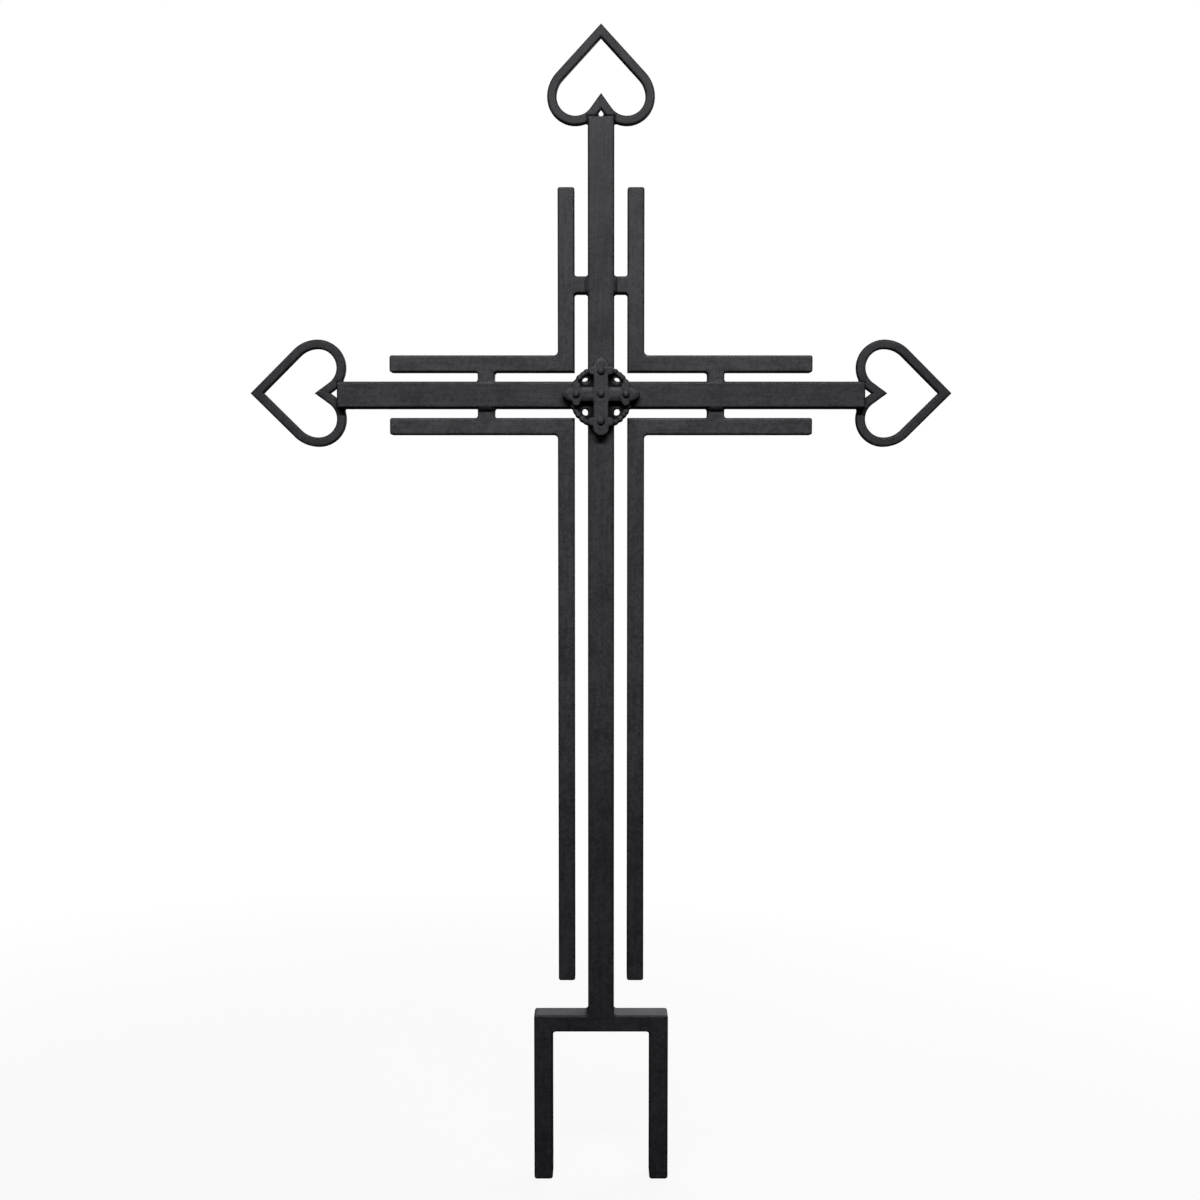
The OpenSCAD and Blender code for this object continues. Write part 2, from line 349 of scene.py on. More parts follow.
def prong_outline():
    """The other side of that cut, down to a rounded free end."""
    outer = FORK_HALF - BAR_CORNER
    foot = PRONG_FOOT + BAR_CORNER
    return outline(arc(PRONG_INNER - PRONG_WELD, -PRONG_WELD, PRONG_WELD, 45, 0),
                   arc(PRONG_INNER + BAR_CORNER, foot, BAR_CORNER, 180, 270),
                   arc(outer, foot, BAR_CORNER, 270, 360),
                   arc(outer, FORK_TOP - BAR_CORNER, BAR_CORNER, 0, 45), CUT)


# ---- Welds that stand in a corner between two surfaces ----


def weld_bead(corner, leg_a, leg_b, along, length, fullness):
    """A weld in a corner. Across it a point is corner + leg_a cos(t)^n + leg_b sin(t)^n, for t over
    a quarter turn: n is 1 for a full, rounded bead and 3 for a hollow one. The back lies a little
    inside the metal. The section is carried along for the length, and over the last part of it
    at both ends it shrinks as an ellipse does."""
    corner, leg_a, leg_b, along = (np.array(v, float) for v in (corner, leg_a, leg_b, along))
    t = np.linspace(0, math.pi / 2, 11)[:, None]
    face = leg_a * np.cos(t) ** fullness + leg_b * np.maximum(np.sin(t), 0) ** fullness
    section = np.concatenate([face, [-(leg_a + leg_b) * 0.15]])
    taper = min(np.linalg.norm(leg_a), 0.45 * length)
    turn = np.linspace(0.08, math.pi / 2, 8)
    reach = taper * (1 - np.cos(turn)) - length / 2
    reach = np.concatenate([reach, -reach[::-1]])
    scale = np.concatenate([np.sin(turn), np.sin(turn[::-1])])
    cloud = corner + scale[:, None, None] * section[None] + reach[:, None, None] * along
    rows, columns = cloud.shape[:2]
    quads = grid_quads(rows, columns)
    caps = [np.arange(columns), np.arange(columns)[::-1] + (rows - 1) * columns]
    if np.cross(leg_a, leg_b) @ along > 0:
        quads, caps = quads[:, ::-1], [c[::-1] for c in caps]
    return cloud.reshape(-1, 3), quads, caps


def joined(parts):
    """Several closed shapes, each (points, quads, polygons), as one set of arrays."""
    starts = np.concatenate([[0], np.cumsum([len(part[0]) for part in parts])])
    return (np.concatenate([part[0] for part in parts]),
            np.concatenate([part[1] + start for part, start in zip(parts, starts)]),
            [polygon + start for part, start in zip(parts, starts) for polygon in part[2]])


# ---- Hearts ----

HEART_BAR = 9.0 * MM
HEART_EDGE = 2.2 * MM
LOBE_R = 26.5 * MM
SHOULDER_R = 32.5 * MM
CUSP_ANGLE = math.radians(36)
HEART_STEPS = 28
FLANK_STEPS = 24
LEG_STEPS = 8


def heart_ring(width, length, inset):
    """Heart outlines about their lobe line, tip up, one for each inset, as an array of x and z.

    Half an outline is a straight flank from the tip, an arc of the shoulder's radius, an arc of the
    lobe's radius, tangent to it, and a straight leg to the cusp. Moved inwards by k, both radii
    shrink by k, the tip drops by k / sin(flank's angle), and the cusp rises by
    k / sin(cusp's angle).
    """
    k = inset[:, None]
    rise = length - LOBE_R
    shoulder_x, lobe_x = width / 2 - SHOULDER_R, width / 2 - LOBE_R
    flank = math.atan(shoulder_x / rise) + math.asin(SHOULDER_R / math.hypot(shoulder_x, rise))
    bend = np.linspace(flank, 0, HEART_STEPS)[None, :]
    curl = np.linspace(0, CUSP_ANGLE - math.pi, 2 * HEART_STEPS)[None, 1:]
    bend_x, bend_z = shoulder_x + (SHOULDER_R - k) * np.cos(bend), (SHOULDER_R - k) * np.sin(bend)
    curl_x, curl_z = lobe_x + (LOBE_R - k) * np.cos(curl), (LOBE_R - k) * np.sin(curl)
    tip = rise - k / math.sin(flank)
    cusp = (lobe_x * math.cos(CUSP_ANGLE) - (LOBE_R - k)) / math.sin(CUSP_ANGLE)
    down = np.linspace(0, 1, FLANK_STEPS, endpoint=False)[None, :]
    up = np.linspace(0, 1, LEG_STEPS)[None, 1:]
    x = np.concatenate([down * bend_x[:, :1], bend_x, curl_x, (1 - up) * curl_x[:, -1:]], 1)
    z = np.concatenate([tip + down * (bend_z[:, :1] - tip), bend_z, curl_z,
                        curl_z[:, -1:] + up * (cusp - curl_z[:, -1:])], 1)
    return np.concatenate([x, -x[:, -2:0:-1]], 1), np.concatenate([z, z[:, -2:0:-1]], 1)


def bar_section(width, depth, edge, steps=5):
    """A closed section as insets from 0 to width and depths about 0: four flats with rounded
    corners, and beside each corner a point that keeps the flat flat."""
    quarter = arc(0, 0, edge, 0, 90, steps)
    quarter = np.concatenate([[[edge, -FACE_RIM]], quarter, [[-FACE_RIM, edge]]])
    turn = np.array([[[1, 0], [0, 1]], [[0, 1], [-1, 0]], [[-1, 0], [0, -1]], [[0, -1], [1, 0]]])
    side = np.array([[1, 1], [-1, 1], [-1, -1], [1, -1]])
    centre = side * [width / 2 - edge, depth / 2 - edge]
    section = np.einsum("pk,ckj->cpj", quarter, turn) + centre[:, None]
    return section.reshape(-1, 2) + [width / 2, 0]


def heart(name, node, up):
    """A bar's section carried round a heart, which points up, left or right."""
    low, high = corners(node)
    tall, wide = (2, 0) if up == "up" else (0, 2)
    length, width = high[tall] - low[tall], high[wide] - low[wide]
    section = bar_section(HEART_BAR, high[1] - low[1], HEART_EDGE)
    x, z = heart_ring(width, length, section[:, 0])
    y = np.repeat(section[:, 1:], x.shape[1], 1)
    middle = (low[wide] + high[wide]) / 2
    if up == "up":
        cloud = np.stack([x + middle, y, z + low[2] + LOBE_R], -1)
    elif up == "right":
        cloud = np.stack([z + low[0] + LOBE_R, y, middle - x], -1)
    else:
        cloud = np.stack([high[0] - LOBE_R - z, y, middle + x], -1)
    # Painted shade: the paint darkens on the sides and rounded edges of the heart's bar, most on
    # those that face down.
    into_edge = np.minimum(section[:, 0], HEART_BAR - section[:, 0]) / HEART_EDGE
    turned = np.arccos(np.clip(1 - into_edge, 0, 1))
    on_face = np.isclose(np.abs(section[:, 1]), heart_depth / 2)
    on_wall = np.abs(section[:, 1]) < heart_depth / 2 - HEART_EDGE
    rim = np.where(on_wall, HEART_WALL_SHADE, np.where(on_face, 0, edge_shade(turned)))[:, None]
    outwards = np.sign(HEART_BAR / 2 - section[:, :1])
    rim = rim * under((x[:1] - x[-1:]) * outwards, (z[:1] - z[-1:]) * outwards)
    quads = grid_quads(*x.shape, closed_rows=True)
    return shaded(new_mesh(name, cloud.reshape(-1, 3), quads), rim)


def notch_weld(side, line, end, across, along):
    """The weld in a lower corner of the small gap between a heart's notch and its bar's end. line
    and end say how far along the bar the lobe centres and the bar's end lie from the origin."""
    lobe_x = heart_width / 2 - LOBE_R
    notch = line + (lobe_x * math.cos(CUSP_ANGLE) - LOBE_R) / math.sin(CUSP_ANGLE)
    corner = side * (notch - end) * math.tan(CUSP_ANGLE) * across + end * along
    up_leg = math.cos(CUSP_ANGLE) * along - side * math.sin(CUSP_ANGLE) * across
    return weld_bead(corner, -side * across * NOTCH_WELD[0], up_leg * NOTCH_WELD[1], [0, 1, 0],
                     1.3 * heart_depth, 2)


def lobe_weld(side, bar_half, line, across, along, offset):
    """The weld under a lobe, where it leaves the side of its bar. line says how far along the bar
    the lobe centres lie from the origin, across and along are the bar's own directions, and offset
    is how far the heart's axis lies from the bar's."""
    lobe_x = heart_width / 2 - LOBE_R
    x = bar_half - side * offset
    drop = math.sqrt(LOBE_R ** 2 - (lobe_x - x) ** 2)
    corner = side * bar_half * across + (line - drop) * along
    away = (drop * side * across - (lobe_x - x) * along) / LOBE_R
    return weld_bead(corner, -along * HEART_WELD_LEG, away * HEART_WELD_LEG, [0, 1, 0],
                     heart_depth, 3)


# ---- The rosette ----

RELIEF_STEP = 0.42 * MM
CROSS_RISE = 9.0 * MM        # height of the cross above the bars
RING_RISE = 4.6 * MM
WEB_RISE = 2.2 * MM
STUD_RISE = 11.6 * MM
LEVEL_RISE = 2.0 * MM        # how far the level arms lie above the rosette's middle
WINDOW_REACH = 14.5 * MM
WINDOW_R = 3.1 * MM
STUD_REACH = 23.5 * MM
STUD_R = 3.6 * MM
UPRIGHT_ARM_HALF = 7.0 * MM
UPRIGHT_ARM_SHORT = 8 * MM   # the straight part stops this far short of the rosette's end
UPRIGHT_LOBE_R = 7.6 * MM
UPRIGHT_EARS = 8.3 * MM, 24.0 * MM   # middles of the side lobes of the upright arm
LEVEL_ARM = 27 * MM, 6.8 * MM        # half length and half width
LEVEL_LOBE = 28.4 * MM, 6.6 * MM     # its middle and radius
LEVEL_TIP_R = 3.2 * MM
LEVEL_EARS = 23.3 * MM, 7.2 * MM
EAR_R = 4.0 * MM
SLANT_FOOT = 6.9 * MM        # how far the level arm's slanting sides reach out at their foot
SLANT_DROP = 1.8 * MM        # and how far below the cross's face that foot lies
SLANT_FROM, SLANT_TO = 8 * MM, 18.5 * MM   # the sides slant only between these reaches
LOBE_MIDDLE = 29 * MM        # where the level lobes start to slope off
RING_R = 27.0 * MM
RING_TUBE = 2.8 * MM
RING_DROP = 0.5 * MM         # the ring's middle lies this far below the rosette's
RING_MIDDLE = 1.1 * MM       # height of the middle of its tube
WEB_R = 26 * MM
LIP_R = 1.0 * MM             # tube radius of the raised lip round a window


def blend_max(a, b, radius):
    """The larger of two fields, with the edge where they meet rounded off over radius."""
    mix = np.clip(0.5 + (a - b) / (2 * radius), 0, 1)
    return b + (a - b) * mix + radius * mix * (1 - mix)


def blend_min(a, b, radius):
    """The smaller of two fields, with the corner where they meet filled in over radius."""
    return -blend_max(-a, -b, radius)


def disc(x, z, cx, cz, radius):
    """Distance outside a circle about (cx, cz)."""
    return np.hypot(x - cx, z - cz) - radius


def bar_field(x, z, half_x, half_z):
    """Distance outside a rectangle about the origin."""
    over_x, over_z = np.abs(x) - half_x, np.abs(z) - half_z
    outside = np.hypot(np.maximum(over_x, 0), np.maximum(over_z, 0))
    return outside + np.minimum(np.maximum(over_x, over_z), 0)


def dome(x, z, h, cx, cz, radius, top):
    """Distance, roughly, outside a low round stud whose crown is at height top."""
    crown = radius * 1.15
    return blend_max(np.sqrt((x - cx) ** 2 + (z - cz) ** 2 + (h - top + crown) ** 2) - crown,
                     disc(x, z, cx, cz, radius), 0.5 * MM)


def slope_off(across, beyond):
    """How far the face of an end lobe has sunk, where a point lies across its axis and beyond its
    middle: the face is level within 3.6 mm of the middle and slopes off round that."""
    reach = np.hypot(across, np.maximum(beyond, 0)) - 3.6 * MM
    return 0.45 * np.maximum(reach, 0) * np.clip((beyond + 3 * MM) / (6 * MM), 0, 1)


def rosette_field(x, h, z):
    """Below 0 inside the casting, at x and z from its middle and height h above the bars.

    Each part is an outline cut off at its own height with a rounded rim: the upright arm, the level
    arm with slanting sides, both with three lobes at each end, a web with four round windows that
    have raised lips, and a ring whose tube swells and shrinks by two cosines of the angle round it.
    They are blended where they meet, and five low studs stand on the cross.
    """
    level = z - LEVEL_RISE
    wide, tall = np.abs(x), np.abs(z)
    upright = blend_min(bar_field(x, z, UPRIGHT_ARM_HALF, rosette_half_z - UPRIGHT_ARM_SHORT),
                        disc(x, z, 0, rosette_half_z - UPRIGHT_LOBE_R, UPRIGHT_LOBE_R), 0.6 * MM)
    upright = blend_min(upright, disc(x, z, 0, UPRIGHT_LOBE_R - rosette_half_z, UPRIGHT_LOBE_R),
                        0.8 * MM)
    upright = blend_min(upright, disc(wide, tall, *UPRIGHT_EARS, EAR_R), 1.2 * MM)
    crown = slope_off(x, z - rosette_half_z + UPRIGHT_LOBE_R)
    upright = blend_max(upright, h - CROSS_RISE + crown, 1.5 * MM)
    crossbar = blend_min(bar_field(x, level, *LEVEL_ARM),
                         disc(wide, level, LEVEL_LOBE[0], 0, LEVEL_LOBE[1]), 1 * MM)
    crossbar = blend_min(crossbar, disc(wide, level, rosette_half_x - LEVEL_TIP_R, 0, LEVEL_TIP_R),
                         3 * MM)
    crossbar = blend_min(crossbar, disc(wide, np.abs(level), *LEVEL_EARS, EAR_R), 1.2 * MM)
    slant = (np.abs(level) - SLANT_FOOT + 2 * (h - CROSS_RISE + SLANT_DROP)) / 2.24
    slant = slant - 3 * np.maximum(wide - SLANT_TO, 0) - 3 * np.maximum(SLANT_FROM - wide, 0)
    top = h - CROSS_RISE + 0.2 * MM + slope_off(level, wide - LOBE_MIDDLE)
    crossbar = blend_max(blend_max(crossbar, top, 1.4 * MM), slant, 0.9 * MM)

    around = np.arctan2(z, x)
    beads = 0.26 * MM * np.cos(36 * around) + 0.2 * MM * np.cos(23 * around + 1)
    radius = np.hypot(x, z + RING_DROP)
    ring = np.sqrt((radius - RING_R) ** 2 + (0.72 * (h - RING_MIDDLE)) ** 2) - RING_TUBE - beads
    ring = np.maximum(ring, h - RING_RISE - 0.4 * MM)
    web = blend_max(radius - WEB_R, h - WEB_RISE, 0.6 * MM)
    window = disc(np.abs(x), np.abs(z), WINDOW_REACH, WINDOW_REACH, 0)
    lip = np.hypot(window - WINDOW_R - LIP_R, 0.8 * (h - WEB_RISE + 0.6 * MM)) - LIP_R
    web = blend_min(web, lip, 0.8 * MM)

    body = blend_min(ring, web, 0.9 * MM)
    body = blend_max(body, WINDOW_R - window, 0.5 * MM)
    body = blend_min(body, blend_min(upright, crossbar, 0.9 * MM), 0.9 * MM)
    for cx, cz in ((0, STUD_REACH), (0, -STUD_REACH), (0, LEVEL_RISE),
                   (STUD_REACH, LEVEL_RISE), (-STUD_REACH, LEVEL_RISE)):
        body = blend_min(body, dome(x, z, h, cx, cz, STUD_R, STUD_RISE), 0.5 * MM)
    return blend_max(body, -0.45 * MM - h, 0.2 * MM)


def skin_of(field, low, high, step):
    """The surface where a field is 0, as points and four-sided faces.

    Each cell of a grid with both signs at its corners gets one point, the mean of where the field
    crosses its edges. Each grid edge that the surface crosses gets a face that joins the points of
    the four cells round it. Two steps along the field's slope then take each point to the surface.
    """
    axes = [np.arange(a, b + step, step) for a, b in zip(low, high)]
    value = field(*np.meshgrid(*axes, indexing="ij"))
    cells = tuple(n - 1 for n in value.shape)
    total, count = np.zeros(cells + (3,)), np.zeros(cells)
    crossings = []
    for axis in range(3):
        a = np.moveaxis(value, axis, 0)
        start, end = a[:-1], a[1:]
        crossed = (start < 0) != (end < 0)
        share = np.where(crossed, start / np.where(crossed, start - end, 1), 0)
        crossed, share = np.moveaxis(crossed, 0, axis), np.moveaxis(share, 0, axis)
        crossings.append((crossed, np.moveaxis(start < 0, 0, axis)))
        one, two = [other for other in range(3) if other != axis]
        for i in (0, 1):
            for j in (0, 1):
                pick = [slice(None)] * 3
                pick[one], pick[two] = slice(i, i + cells[one]), slice(j, j + cells[two])
                hit, along = crossed[tuple(pick)], share[tuple(pick)]
                count += hit
                total[..., axis] += along
                total[..., one] += hit * i
                total[..., two] += hit * j
    used = count > 0
    index = np.full(cells, -1)
    index[used] = np.arange(used.sum())
    origin = np.array([a[0] for a in axes])
    points = (np.argwhere(used) + total[used] / count[used][:, None]) * step + origin
    quads = []
    for axis, (crossed, inside) in enumerate(crossings):
        one, two = (axis + 1) % 3, (axis + 2) % 3
        at = np.argwhere(crossed)
        back_one, back_two = np.eye(3, dtype=int)[one], np.eye(3, dtype=int)[two]
        face = np.stack([index[tuple((at - move).T)] for move in
                         (back_one + back_two, back_two, 0 * back_one, back_one)], -1)
        quads.append(np.where(inside[crossed][:, None], face, face[:, ::-1]))
    small = step * 0.1
    for _ in range(2):
        here = field(*points.T)
        slope = np.stack([field(*(points + small * way).T) - here for way in np.eye(3)], -1) / small
        move = -here[:, None] * slope / np.maximum((slope ** 2).sum(1), 0.2)[:, None]
        points = points + np.clip(move, -step / 2, step / 2)
    return points, np.concatenate(quads)


def rosette(name):
    """The casting over the crossing, its height turned towards -Y. Painted shade darkens its paint
    in its low parts and on its steep sides, most of all on those that face down."""
    margin = 1.5 * MM
    low = np.array([-rosette_half_x - margin, -1.2 * MM, -rosette_half_z - margin])
    high = np.array([rosette_half_x + margin, STUD_RISE + 1 * MM, rosette_half_z + margin])
    points, quads = skin_of(rosette_field, low, high, RELIEF_STEP)
    cloud = points * [1, -1, 1] + [0, -POST_HALF, rosette_z]
    here = rosette_field(*points.T)
    slope = np.stack([rosette_field(*(points + 0.05 * MM * way).T) - here for way in np.eye(3)], -1)
    facing = slope[:, 1] / np.maximum(np.linalg.norm(slope, axis=1), 1e-9)
    # Painted shade: the paint darkens in the casting's low parts and on its steep sides.
    sunk = np.clip((4.4 * MM - points[:, 1]) / (2.4 * MM), 0, 0.92)
    steep = np.clip(1.7 - 1.8 * facing, 0, 1.3) * under(slope[:, 0], slope[:, 2])
    return shaded(new_mesh(name, cloud, quads[:, ::-1]), np.maximum(sunk, steep))


# ---- Materials ----


class Value:
    """A shader socket that takes part in sums as a number does."""

    def __init__(self, graph, socket):
        self.graph, self.socket = graph, socket

    def maths(self, operation, first, second):
        return self.graph.add("ShaderNodeMath", {0: first, 1: second}, operation=operation)

    def __add__(self, other):
        return self.maths("ADD", self, other)

    def __sub__(self, other):
        return self.maths("SUBTRACT", self, other)

    def __rsub__(self, other):
        return self.maths("SUBTRACT", other, self)

    def __mul__(self, other):
        return self.maths("MULTIPLY", self, other)

    __radd__ = __add__
    __rmul__ = __mul__


class Graph:
    """The nodes of one material, or of the world."""

    def __init__(self, tree):
        self.tree = tree
        tree.nodes.clear()

    def add(self, kind, inputs=None, output=0, **settings):
        """A node of a type, its settings set first and then its sockets, each from a value or from
        another node. Gives the output that is asked for."""
        node = self.tree.nodes.new(kind)
        for name, setting in settings.items():
            setattr(node, name, setting)
        for key, value in (inputs or {}).items():
            if isinstance(value, Value):
                self.tree.links.new(value.socket, node.inputs[key])
            else:
                node.inputs[key].default_value = value
        return Value(self, node.outputs[output]) if node.outputs else None

    def size(self, value):
        """A value without its sign."""
        return self.add("ShaderNodeMath", {0: value}, operation="ABSOLUTE")

    def most(self, first, second):
        """The larger of two values."""
        return self.add("ShaderNodeMath", {0: first, 1: second}, operation="MAXIMUM")

    def least(self, first, second):
        """The smaller of two values."""
        return self.add("ShaderNodeMath", {0: first, 1: second}, operation="MINIMUM")

    def noise(self, place, size, detail=2.0, roughness=0.5):
        """Soft noise from 0 to 1 whose lumps are about size across."""
        return self.add("ShaderNodeTexNoise", {"Vector": place, "Scale": 1 / size, "Detail": detail,
                                               "Roughness": roughness})

    def mix(self, share, first, second):
        """A colour between two others."""
        return self.add("ShaderNodeMix", {0: share, 6: first, 7: second}, output=2,
                        data_type="RGBA")

    def ease(self, value, start, end):
        """0 below start, 1 above end, and smooth between them."""
        return self.add("ShaderNodeMapRange", {0: value, 1: start, 2: end, 3: 0.0, 4: 1.0},
                        interpolation_type="SMOOTHSTEP")


# Near-blacks that painted shade turns the paint towards: at the foot, and on edges, sides,
# undersides and joins.
FOOT_SHADE_BLACK = 0.002, 0.002, 0.002, 1
SHADE_BLACK = 0.006, 0.006, 0.007, 1
CONTACT_SHADE_REACH = 0.5 * MM, 2.8 * MM   # how far out the painted shade at the hearts' joins is full, and where it ends


def new_material(name):
    material = bpy.data.materials.new(name)
    material.use_nodes = True
    return material, Graph(material.node_tree)


def textured_black(name, dark, light, roughness, grain, relief, drawn=None, contact_shade=False):
    """Matt, fine-textured black paint over metal.

    Its colour wanders between two near-blacks in soft patches and in a fine speckle. Its surface is
    a fine grain over a gentle ripple. drawn gives the way the bar was drawn, along which very faint
    streaks run. Painted shade takes it towards a dull near-black where the attribute rim says so,
    on edges, sides and undersides. The last argument paints the same shade on the hearts round the
    ends of the post and arms, where they pass into the bars. Painted shade also darkens all of it
    towards the foot.
    """
    material, graph = new_material(name)
    place = graph.add("ShaderNodeTexCoord", output="Object")
    patches = graph.noise(place, 22 * MM, 3.0)
    mottle = graph.noise(place, 4.5 * MM, 3.0, 0.6)
    speckle = graph.noise(place, 1.1 * MM, 2.0, 0.6)
    tone = patches * 0.9 + mottle * 1.2 + speckle * 1.6 - 1.35
    ripple = graph.noise(place, 7 * MM, 2.0)
    fine = graph.noise(place, grain, 3.0, 0.6)
    height = fine * relief + ripple * (relief * 1.6)
    if drawn:
        squash = [1 / (40 * MM) if axis == drawn else 1 / (2.2 * MM) for axis in "xyz"]
        run = graph.add("ShaderNodeMapping", {"Vector": place, "Scale": squash})
        streaks = graph.noise(run, 1.0, 2.0, 0.6)
        tone = tone + (streaks - 0.5) * 0.8
        height = height + streaks * (relief * 0.8)
    colour = graph.mix(graph.ease(tone, 0.05, 0.95), dark + (1,), light + (1,))
    shade = graph.add("ShaderNodeAttribute", output="Fac", attribute_name="rim")
    x, z = (graph.add("ShaderNodeSeparateXYZ", {0: place}, output=axis) for axis in (0, 2))
    # Painted shade on the hearts round the ends of the post and arms, where they pass into the
    # bars.
    if contact_shade:
        level = graph.size(z - ARM_Z)
        contact_shade_distance = graph.least(graph.most(graph.size(x) - POST_HALF, z - POST_TOP - 2 * MM),
                           graph.most(level - POST_HALF, graph.size(x) - ARM_END))
        shade = graph.most(shade, (1 - graph.ease(contact_shade_distance, *CONTACT_SHADE_REACH)) * 0.9)
    # Painted shade: the paint darkens towards the foot, for the light falling off there.
    foot_shade = (1 - graph.ease(z, FOOT_SHADE_HEIGHT - FOOT_SHADE_BAND, FOOT_SHADE_HEIGHT + FOOT_SHADE_BAND)) * FOOT_SHADE_SHARE
    colour = graph.mix(foot_shade, colour, FOOT_SHADE_BLACK)
    dull = graph.ease(mottle * 0.6 + speckle * 0.4, 0.3, 0.7) * 0.12 + (roughness - 0.06)
    normal = graph.add("ShaderNodeBump", {"Strength": 0.6, "Distance": 1.0, "Height": height})
    paint = graph.add("ShaderNodeBsdfPrincipled",
                      {"Base Color": colour, "Roughness": dull, "Normal": normal,
                       "Metallic": 0.0, "IOR": 1.5, "Specular IOR Level": 0.5})
    # Painted shade: a dull near-black that the paint turns towards where the rim attribute says so.
    shade_bsdf = graph.add("ShaderNodeBsdfPrincipled",
                     {"Base Color": SHADE_BLACK, "Roughness": 0.8, "Normal": normal,
                      "Metallic": 0.0, "IOR": 1.5, "Specular IOR Level": 0.1})
    graph.add("ShaderNodeOutputMaterial",
              {"Surface": graph.add("ShaderNodeMixShader", {0: shade, 1: paint, 2: shade_bsdf})})
    return material


TINT = (1.0, 0.985, 1.06)
COOL = (0.0, 0.0, 0.0045)    # bluish haze over all of them


def blacks(level):
    """The darker and the lighter near-black of a paint whose middle is at a level."""
    return tuple(tuple(level * spread * tint + cool for tint, cool in zip(TINT, COOL))
                 for spread in (0.5, 1.5))


GRAIN, RELIEF = 0.9 * MM, 0.10 * MM             # of the paint on bars
CAST_GRAIN, CAST_RELIEF = 1.3 * MM, 0.16 * MM   # and on the rougher casting

# One paint at a level for each kind of part, the rails lightest and the hearts darkest: lit and
# shaded copies of one paint, as painted light and shade.
post_paint = textured_black("textured_black_post", *blacks(0.038), 0.66, GRAIN, RELIEF, "z")
arm_paint = textured_black("textured_black_arms", *blacks(0.038), 0.62, GRAIN, RELIEF, "x")
upright_paint = textured_black("textured_black_uprights", *blacks(0.042), 0.64, GRAIN, RELIEF, "z")
rail_paint = textured_black("textured_black_rails", *blacks(0.050), 0.60, GRAIN, RELIEF, "x")
heart_paint = textured_black("textured_black_hearts", *blacks(0.033), 0.66, GRAIN, RELIEF,
                             contact_shade=True)
cast_paint = textured_black("textured_black_cast", *blacks(0.041), 0.62, CAST_GRAIN, CAST_RELIEF)

# ---- The pieces ----

finished(plate("post_bar", post_outline(), POST_HALF - SUNK, BAR_EDGE),
         post_paint, "bar_paint", "post")
for side, left in (("left", True), ("right", False)):
    finished(plate("arm_bar_" + side, mirrored(arm_outline(), left, False),
                   POST_HALF - 2 * SUNK, BAR_EDGE),
             arm_paint, "bar_paint", "arm_" + side)
    finished(plate("prong_bar_" + side, mirrored(prong_outline(), left, False),
                   FORK_HALF_DEPTH, BAR_EDGE),
             post_paint, "bar_paint", "prong_" + side)
    top = spacer_outline(POST_HALF, UPRIGHT_X)
    finished(plate("spacer_block_top_" + side,
                   mirrored((top[0] + [0, TOP_SPACER_Z], top[1]), left, False),
                   SIDE_HALF - SUNK, SIDE_EDGE),
             upright_paint, "bar_paint", "spacer_top_" + side)
    for level, lower in (("upper", False), ("lower", True)):
        reach = LOWER_REACH if lower else UPPER_REACH
        where = level + "_" + side
        finished(plate("upright_bar_" + where, mirrored(upright_outline(reach), left, lower),
                       SIDE_HALF, SIDE_EDGE), upright_paint, "bar_paint", "upright_" + where)
        finished(plate("rail_bar_" + where, mirrored(rail_outline(), left, lower),
                       SIDE_HALF, SIDE_EDGE), rail_paint, "bar_paint", "rail_" + where)
        level_spacer = spacer_outline(POST_HALF, RAIL_Z)
        standing = turned_back((level_spacer[0][:, ::-1] + [ARM_SPACER_X, ARM_Z], level_spacer[1]))
        finished(plate("spacer_block_" + side + "_" + level, mirrored(standing, left, lower),
                       SIDE_HALF - SUNK, SIDE_EDGE),
                 rail_paint, "bar_paint", "spacer_" + side + "_" + level)
finished(plate("crosspiece_bar", crosspiece_outline(), FORK_HALF_DEPTH, BAR_EDGE),
         arm_paint, "bar_paint", "fork_crosspiece")

for direction, node in (("up", "heart_top"), ("left", "heart_left"), ("right", "heart_right")):
    finished(heart(node + "_bar", node, direction), heart_paint, "heart_paint", node)
finished(rosette("cast_rosette"), cast_paint, "cast_paint", "rosette", crease=70)

BEAD_FULLNESS = 1.45
BEAD_LENGTH = SIDE + SPACER_WELD

beads = []
for front in (-1, 1):
    face = np.array([0, front * (SIDE_HALF - SUNK), 0])
    for side in (-1, 1):
        beads.append(weld_bead(face + [side * (POST_HALF - BEAD_SEAT), 0, TOP_SPACER_Z],
                               [side * (BEAD_REACH + BEAD_SEAT), 0, 0],
                               [0, front * BEAD_DEPTH, 0], [0, 0, 1], BEAD_LENGTH, BEAD_FULLNESS))
        for level in (-1, 1):
            seat_z = ARM_Z + level * (POST_HALF - BEAD_SEAT)
            beads.append(weld_bead(face + [side * ARM_SPACER_X, 0, seat_z],
                                   [0, 0, level * (BEAD_REACH + BEAD_SEAT)],
                                   [0, front * BEAD_DEPTH, 0], [1, 0, 0],
                                   BEAD_LENGTH, BEAD_FULLNESS))
finished(new_mesh("spacer_welds", *joined(beads)), upright_paint, "bar_paint")

X_WAY, Z_WAY = np.array([1.0, 0, 0]), np.array([0, 0, 1.0])
beads = []
heart_offset = (side_heart_low[2] + side_heart_high[2]) / 2 - ARM_Z
for side in (-1, 1):
    beads.append(lobe_weld(side, POST_HALF, top_heart_low[2] + LOBE_R, X_WAY, Z_WAY, 0))
    for way in (-1, 1):
        bead = lobe_weld(side, POST_HALF, side_heart_low[0] + LOBE_R, Z_WAY, way * X_WAY,
                         heart_offset)
        beads.append((bead[0] + ARM_Z * Z_WAY,) + bead[1:])
    beads.append(notch_weld(side, top_heart_low[2] + LOBE_R, POST_TOP, X_WAY, Z_WAY))
finished(new_mesh("heart_welds", *joined(beads)), heart_paint, "heart_paint")

# ---- Floor, background, lights and camera ----

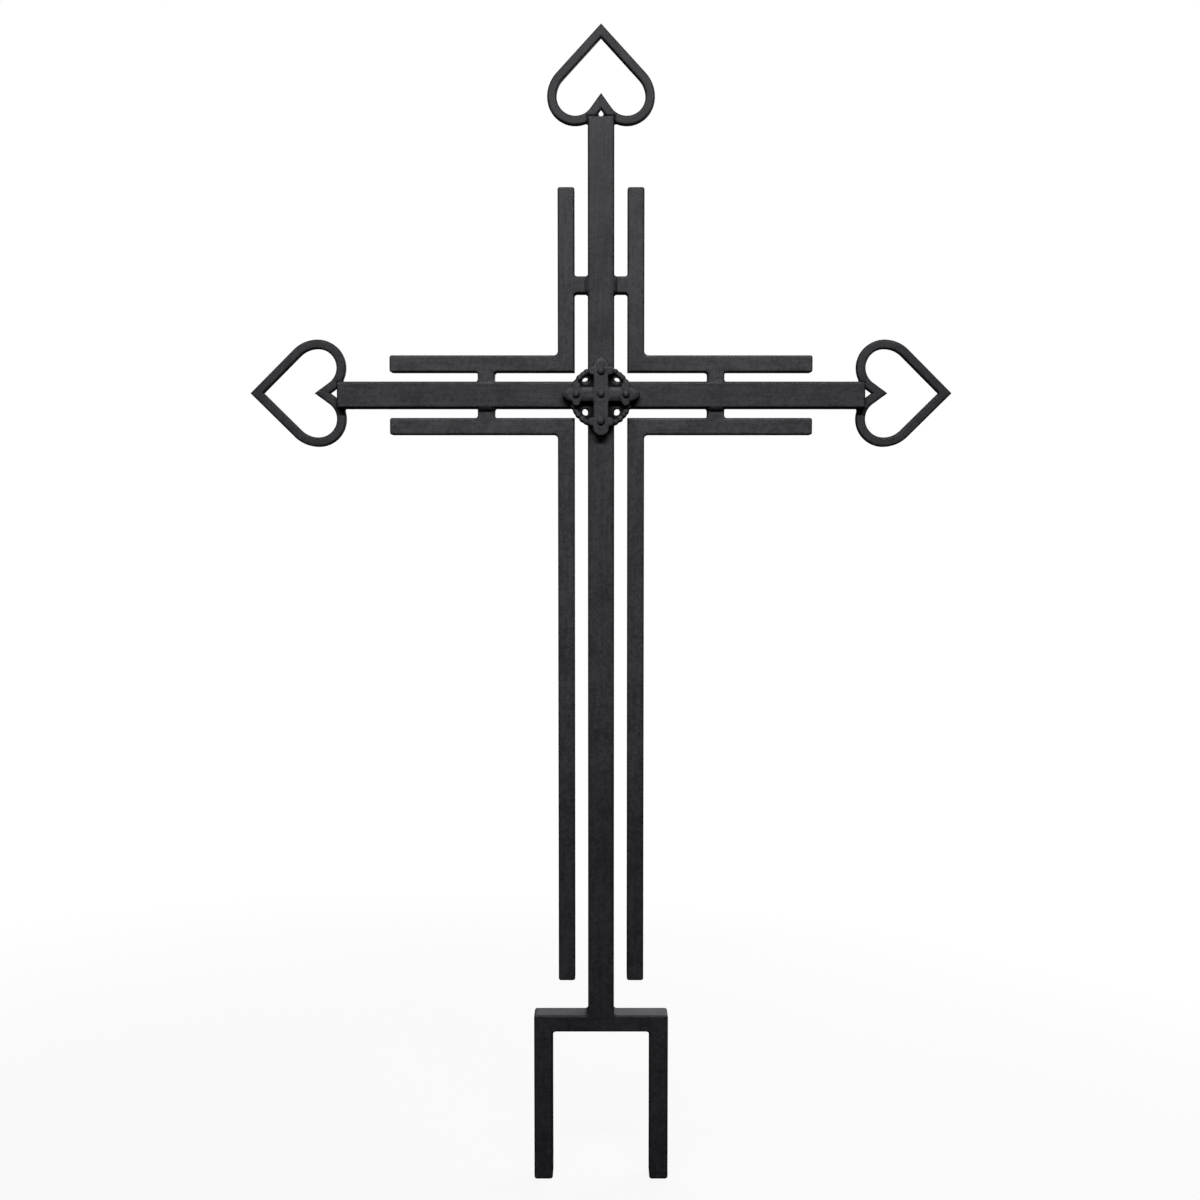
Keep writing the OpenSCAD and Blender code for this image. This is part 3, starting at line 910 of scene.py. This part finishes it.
FLOOR_Z = PRONG_FOOT
FLOOR_REACH = 40
floor_mesh = bpy.data.meshes.new("floor")
floor_mesh.from_pydata([(x * FLOOR_REACH, y * FLOOR_REACH, FLOOR_Z)
                        for x, y in ((-1, -1), (1, -1), (1, 1), (-1, 1))], [], [(0, 1, 2, 3)])
floor = bpy.data.objects.new("floor", floor_mesh)
bpy.context.scene.collection.objects.link(floor)
pale, graph = new_material("pale_floor")
place = graph.add("ShaderNodeTexCoord", output="Object")
away = graph.add("ShaderNodeVectorMath", {0: place}, output="Value", operation="LENGTH")
far = graph.ease(away, 0.5, 1.8)
seen = graph.add("ShaderNodeLightPath", output="Is Camera Ray")
glow = graph.add("ShaderNodeEmission",
                 {"Color": (1, 1, 1, 1), "Strength": seen * (far * 0.1 + 0.9)})
matt = graph.add("ShaderNodeBsdfDiffuse", {"Color": (0.06, 0.06, 0.06, 1)})
graph.add("ShaderNodeOutputMaterial",
          {"Surface": graph.add("ShaderNodeAddShader", {0: glow, 1: matt})})
floor_mesh.materials.append(pale)

world = bpy.data.worlds.new("studio")
bpy.context.scene.world = world
world.use_nodes = True
graph = Graph(world.node_tree)
seen = graph.add("ShaderNodeLightPath", output="Is Camera Ray")
mirrored_ray = graph.add("ShaderNodeLightPath", output="Is Glossy Ray")
through = graph.add("ShaderNodeLightPath", output="Is Transmission Ray")
AMBIENT = 0.005              # light from all round on the object
REFLECTED = 0.02             # how bright the background is in reflections
strength = seen * (1 - AMBIENT) + (mirrored_ray + through) * REFLECTED + AMBIENT
sky = graph.add("ShaderNodeBackground", {"Color": (1, 1, 1, 1),
                                         "Strength": strength})
graph.add("ShaderNodeOutputWorld", {"Surface": sky})


def lamp(name, place, aim, size_x, size_z, power, spread=180):
    """An area lamp that faces a point. Its light keeps within a spread, in degrees."""
    light = bpy.data.lights.new(name, "AREA")
    light.shape, light.size, light.size_y, light.energy = "RECTANGLE", size_x, size_z, power
    light.spread = math.radians(spread)
    body = bpy.data.objects.new(name, light)
    bpy.context.scene.collection.objects.link(body)
    body.location = place
    body.rotation_euler = (Vector(aim) - Vector(place)).to_track_quat("-Z", "Y").to_euler()
    return body


lamp("key", (0.0, -1.27, 1.76), (0.0, 0.0, 0.5), 1.4, 0.18, 8.3, 100)
lamp("overhead", (0.0, 0.5, 1.9), (0.0, 0.0, 0.6), 1.0, 0.6, 4.0)
lamp("behind", (0.3, 1.4, 1.3), (0.0, 0.0, 0.4), 1.0, 0.8, 15.0)
lamp("left", (-1.5, -0.6, 0.9), (0.0, 0.0, 0.6), 0.8, 0.8, 1.4)
lamp("right", (1.6, 1.2, 0.9), (0.0, 0.0, 0.5), 0.8, 0.8, 24.0)

camera_data = bpy.data.cameras.new("camera")
camera_data.sensor_width, camera_data.lens = 36, 46.78
camera = bpy.data.objects.new("camera", camera_data)
bpy.context.scene.collection.objects.link(camera)
camera.location = (-0.00098, -1.495, 0.5152)
camera.rotation_euler = (math.radians(90 - 3.67), 0, 0)
bpy.context.scene.camera = camera
bpy.context.scene.view_settings.view_transform = "Standard"
